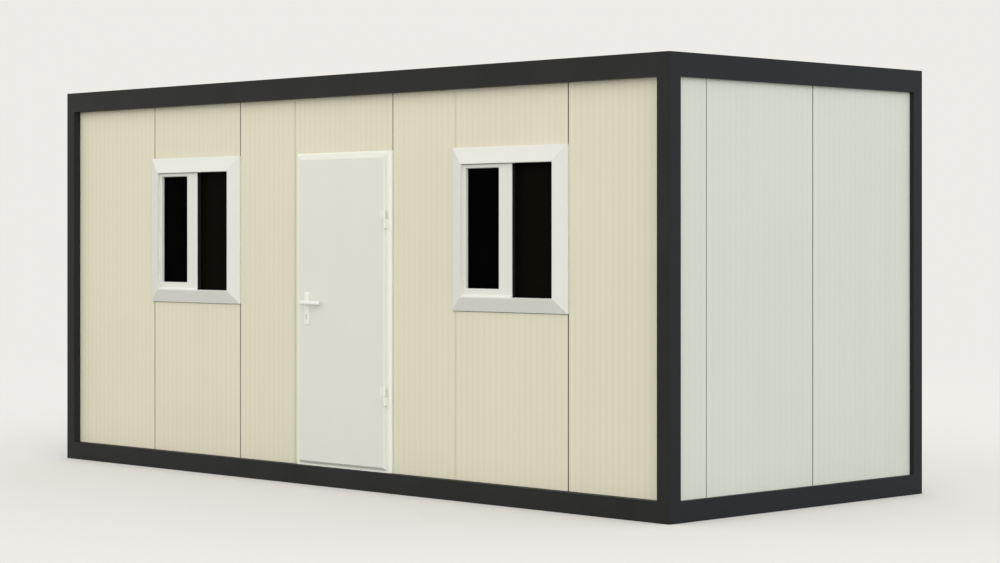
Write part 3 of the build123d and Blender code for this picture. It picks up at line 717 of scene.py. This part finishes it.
def hinge_screws():
    low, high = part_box("hinge_moving_halves")
    stepped_disc(*HINGE_SCREW)
    turn(90, "X")
    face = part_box("door_leaf")[0][1] - HINGE_PLATE
    set_disc((low[0] + HINGE_SCREW_EDGE, face, low[2] + KNUCKLE / 4))
    row(2, (0, 0, KNUCKLE / 2))
    row(2, (0, 0, high[2] - low[2] - KNUCKLE))
    return finish_piece("hinge_screws", "door", FINISHES["hinge_steel"], SMOOTH)


def handle_plate_screws():
    """The inside plate's two screws; the outside plate shows none."""
    low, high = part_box("handle_plates")
    stepped_disc(*PLATE_SCREW)
    turn(-90, "X")
    middle = (low[0] + high[0]) / 2
    set_disc((middle, high[1], low[2] + PLATE_SCREW_EDGE))
    row(2, (0, 0, high[2] - low[2] - 2 * PLATE_SCREW_EDGE))
    return finish_piece(
        "handle_plate_screws", "door", FINISHES["lock_metal"], SMOOTH
    )


def roof_screws():
    """A washered screw in every trough of the roof sheet, along both eaves."""
    low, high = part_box("roof_sheet")
    count = int((high[0] - low[0]) / ROOF_PITCH) - 1
    trough = high[2] - ROOF_RIB
    for name, y in (("front", low[1] + ROOF_SCREW_EDGE), ("back", high[1] - ROOF_SCREW_EDGE)):
        stepped_disc(*ROOF_SCREW)
        first = (low[0] + high[0] - (count - 1) * ROOF_PITCH) / 2
        set_disc((first, y, trough))
        row(count, (ROOF_PITCH, 0, 0))
        finish_piece("roof_screws_" + name, "cabin", FINISHES["joist_steel"], SMOOTH)


finish_frame()
wall_skins()
joint_shade_strips()
door_seal()
stop_seal()
for window in ("window_1", "window_2"):
    glazing_seals_and_casing_shade_strip(window)
hinge_screws()
handle_plate_screws()
roof_screws()


# ---- stage --------------------------------------------------------------------------------
BACKGROUND = srgb(238, 236, 232)
HORIZON_GLOW = 1.80                    # the studio's walls are brighter than its ceiling
CEILING_GLOW = 0.85
KEY_STRENGTH = 1.3
KEY_FROM = Vector((0.85, -0.50, 0.15))  # direction from the cabin towards the key light
FLOOR_COLOUR = (0.718, 0.705, 0.678)
FLOOR_BOUNCE = 0.38                    # share of its colour that the floor throws back
FLOOR_RADIUS = 60
FLOOR_FADE = (4, 16)                   # metres out, where the floor turns into the backdrop
KEY_SPREAD = 60                        # degrees, for soft shadows
SENSOR = 36
NEAR_CORNER = Vector((CAD_BOX[1][0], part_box("post_front_right")[0][1], 0))
EYE_FROM_CORNER = Vector((9.4795, -10.5245, 1.656))
LOOK_BEARING = math.radians(44.9)          # turned from +Y towards -X
LENS = 88.76
SHIFT = (-0.045, -0.04525)


def pale_floor():
    bpy.ops.mesh.primitive_circle_add(vertices=64, radius=FLOOR_RADIUS, fill_type="NGON")
    floor = bpy.context.active_object
    floor.name = "floor"
    finish = Finish("pale_floor", Roughness=1.0, Specular_IOR_Level=0.0)
    path = finish.node("LightPath").socket.node.outputs
    seen = Wire(path["Is Camera Ray"])
    for kind in ("Is Glossy Ray", "Is Transmission Ray"):
        seen = seen.most(Wire(path[kind]))
    finish.paint(colour=finish.tint(seen, shade(FLOOR_COLOUR, FLOOR_BOUNCE), FLOOR_COLOUR))
    east, north, up = finish.axes()
    distance = (east ** 2 + north ** 2) ** 0.5
    away = distance.between(*FLOOR_FADE)
    plain = finish.node("Emission", inputs={"Color": (*BACKGROUND, 1), "Strength": 1.0})
    mixed = finish.node(
        "MixShader",
        inputs={0: seen * away, 1: Wire(finish.shader.outputs[0]), 2: plain},
    )
    plug(finish.tree.nodes["Material Output"].inputs["Surface"], mixed)
    floor.data.materials.append(finish.material)


def light_the_stage():
    world = bpy.data.worlds.new("studio")
    bpy.context.scene.world = world
    world.use_nodes = True
    tree = world.node_tree
    sky = tree.nodes["Background"]
    sky.inputs["Color"].default_value = (1, 1, 1, 1)
    direction = tree.nodes.new("ShaderNodeTexCoord")
    split = tree.nodes.new("ShaderNodeSeparateXYZ")
    plug(split.inputs[0], Wire(direction.outputs["Generated"]))
    height = Wire(split.outputs["Z"]).most(0.0)
    plug(sky.inputs["Strength"], HORIZON_GLOW - height * (HORIZON_GLOW - CEILING_GLOW))
    plain = tree.nodes.new("ShaderNodeBackground")
    plain.inputs["Color"].default_value = (*BACKGROUND, 1)
    path = tree.nodes.new("ShaderNodeLightPath")
    mixed = tree.nodes.new("ShaderNodeMixShader")
    plug(mixed.inputs[0], Wire(path.outputs["Is Camera Ray"]))
    plug(mixed.inputs[1], Wire(sky.outputs[0]))
    plug(mixed.inputs[2], Wire(plain.outputs[0]))
    plug(tree.nodes["World Output"].inputs["Surface"], Wire(mixed.outputs[0]))
    bpy.ops.object.light_add(type="SUN")
    key = bpy.context.active_object
    key.name = "key_light"
    key.data.energy = KEY_STRENGTH
    key.data.angle = math.radians(KEY_SPREAD)
    key.rotation_mode = "QUATERNION"
    key.rotation_quaternion = KEY_FROM.to_track_quat("Z", "Y")


def set_camera():
    bpy.ops.object.camera_add(location=NEAR_CORNER + EYE_FROM_CORNER)
    camera = bpy.context.active_object
    camera.rotation_euler = (math.radians(90), 0, LOOK_BEARING)
    camera.data.lens = LENS
    camera.data.sensor_width = SENSOR
    camera.data.shift_x, camera.data.shift_y = SHIFT
    bpy.context.scene.camera = camera
    bpy.context.scene.view_settings.view_transform = "Standard"


pale_floor()
light_the_stage()
set_camera()
